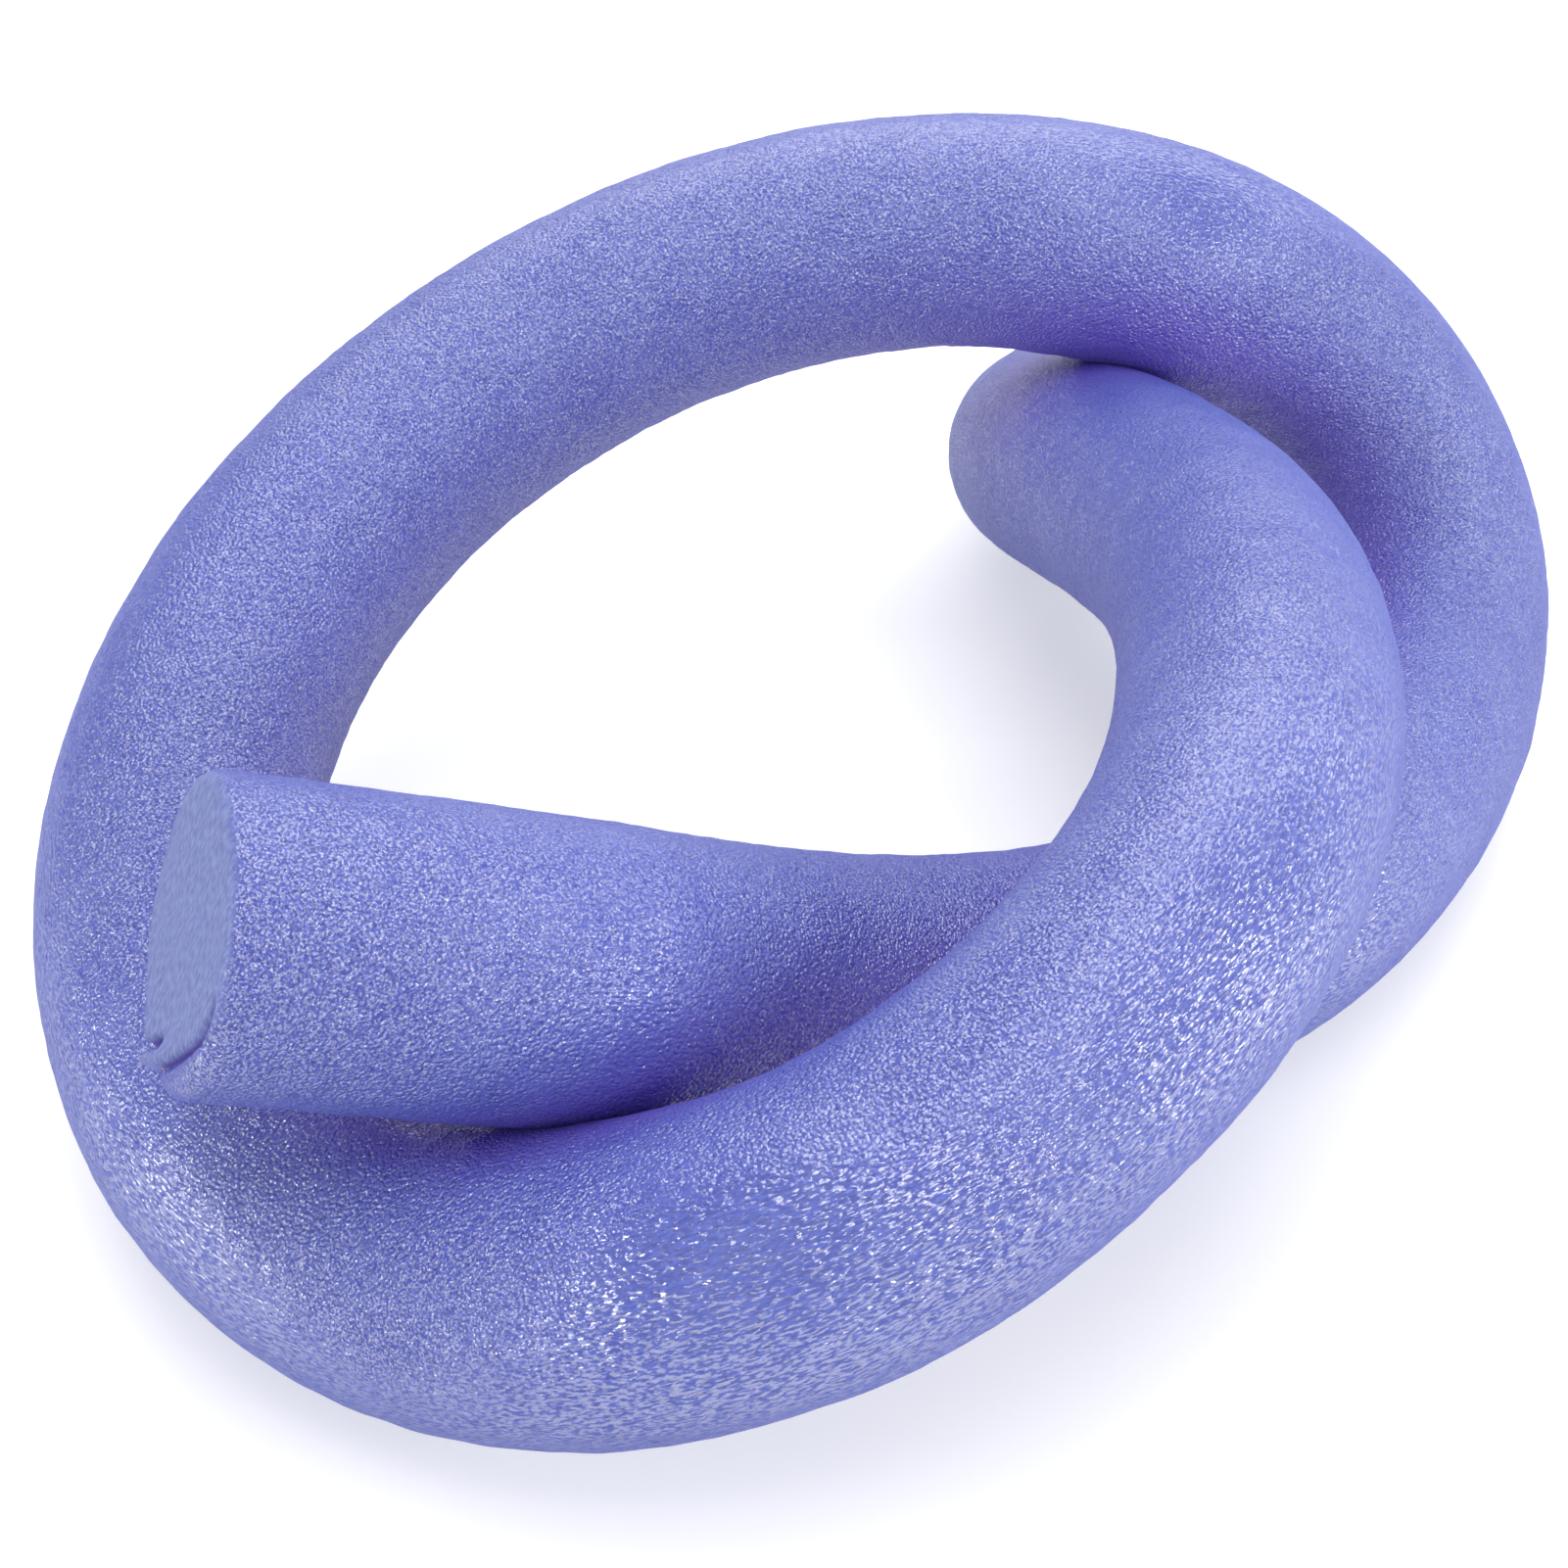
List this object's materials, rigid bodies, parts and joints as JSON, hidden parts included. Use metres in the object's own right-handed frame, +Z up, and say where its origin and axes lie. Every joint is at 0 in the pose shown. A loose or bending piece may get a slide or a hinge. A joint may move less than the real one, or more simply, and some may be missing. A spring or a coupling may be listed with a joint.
{
  "type": "pool noodle",
  "caption": "Solid foam pool noodle tied in a loose overhand knot and lying flat, with its ends cut off square.",
  "frame": {"origin": "on the floor, under the middle of the knot's box", "axes": "+Z up, +Y from the strand nearest the picture's camera towards the hidden tail, +X to the picture's right"},
  "size_m": [0.388, 0.4564, 0.1644],
  "materials": {
    "foam": "closed-cell polyethylene foam skin, blue-violet, matt with fine shiny cells"
  },
  "bodies": {
    "root": {"foam_noodle": "foam"}
  },
  "joints": []
}
